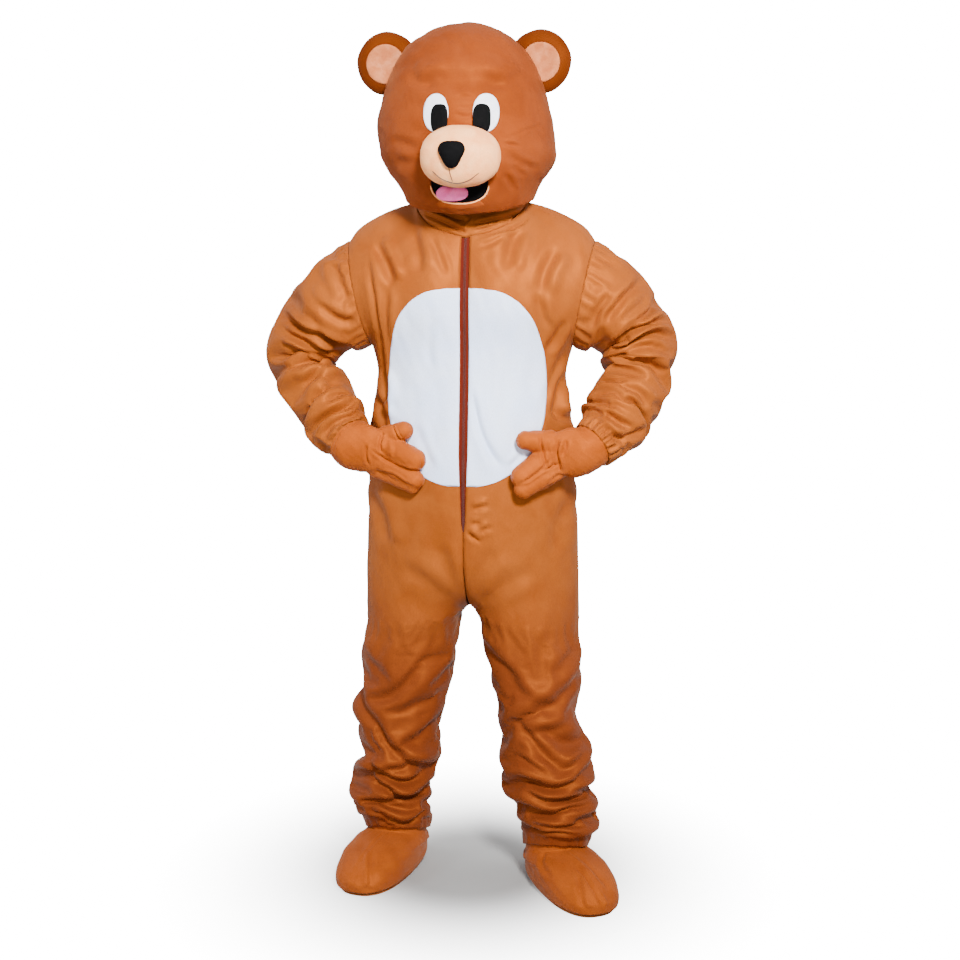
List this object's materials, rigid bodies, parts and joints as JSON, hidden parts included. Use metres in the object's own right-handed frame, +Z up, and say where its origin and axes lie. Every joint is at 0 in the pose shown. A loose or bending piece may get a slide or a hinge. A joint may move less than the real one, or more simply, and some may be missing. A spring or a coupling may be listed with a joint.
{
  "type": "bear mascot costume",
  "caption": "Brown bear mascot costume as worn: round head with ears and muzzle, zipped jumpsuit with a white belly patch, mittens and boot covers, hollow inside.",
  "frame": {"origin": "on the costume's middle line, level with the two shoulder points, where the wearer carries the suit", "axes": "+Z up, the costume faces -Y, and its wearer's left is +X"},
  "size_m": [0.8918, 0.4832, 1.852],
  "materials": {
    "plush_brown": "short pile brown plush with a soft sheen",
    "mitt_plush": "smooth orange-brown plush of the mittens and boot covers",
    "cream_plush": "cream plush of the muzzle and the lip's piping",
    "ear_pink": "pale pink-beige plush inside the ears",
    "white_plush": "white plush of the belly patch and the eyes",
    "black_felt": "black cloth of the nose, pupils and mouth",
    "tongue_pink": "pink cloth of the tongue",
    "zip_brown": "dark red-brown woven zip tape and coil",
    "sole_cloth": "brown non-slip cloth under the boot covers"
  },
  "bodies": {
    "root": {"head": "plush_brown", "ear_left": "plush_brown", "ear_right": "plush_brown", "collar": "plush_brown", "front_left": "plush_brown", "front_right": "plush_brown", "back_left": "plush_brown", "back_right": "plush_brown", "sleeve_left": "plush_brown", "sleeve_right": "plush_brown", "mitt_left": "mitt_plush", "mitt_right": "mitt_plush", "boot_left": "mitt_plush", "boot_right": "mitt_plush", "muzzle": "cream_plush", "mouth_rim": "cream_plush", "ear_lining_left": "ear_pink", "ear_lining_right": "ear_pink", "patch_left": "white_plush", "patch_right": "white_plush", "eye_left": "white_plush", "eye_right": "white_plush", "nose": "black_felt", "pupil_left": "black_felt", "pupil_right": "black_felt", "mouth_lining": "black_felt", "tongue": "tongue_pink", "zip": "zip_brown", "sole_left": "sole_cloth", "sole_right": "sole_cloth"}
  },
  "joints": []
}
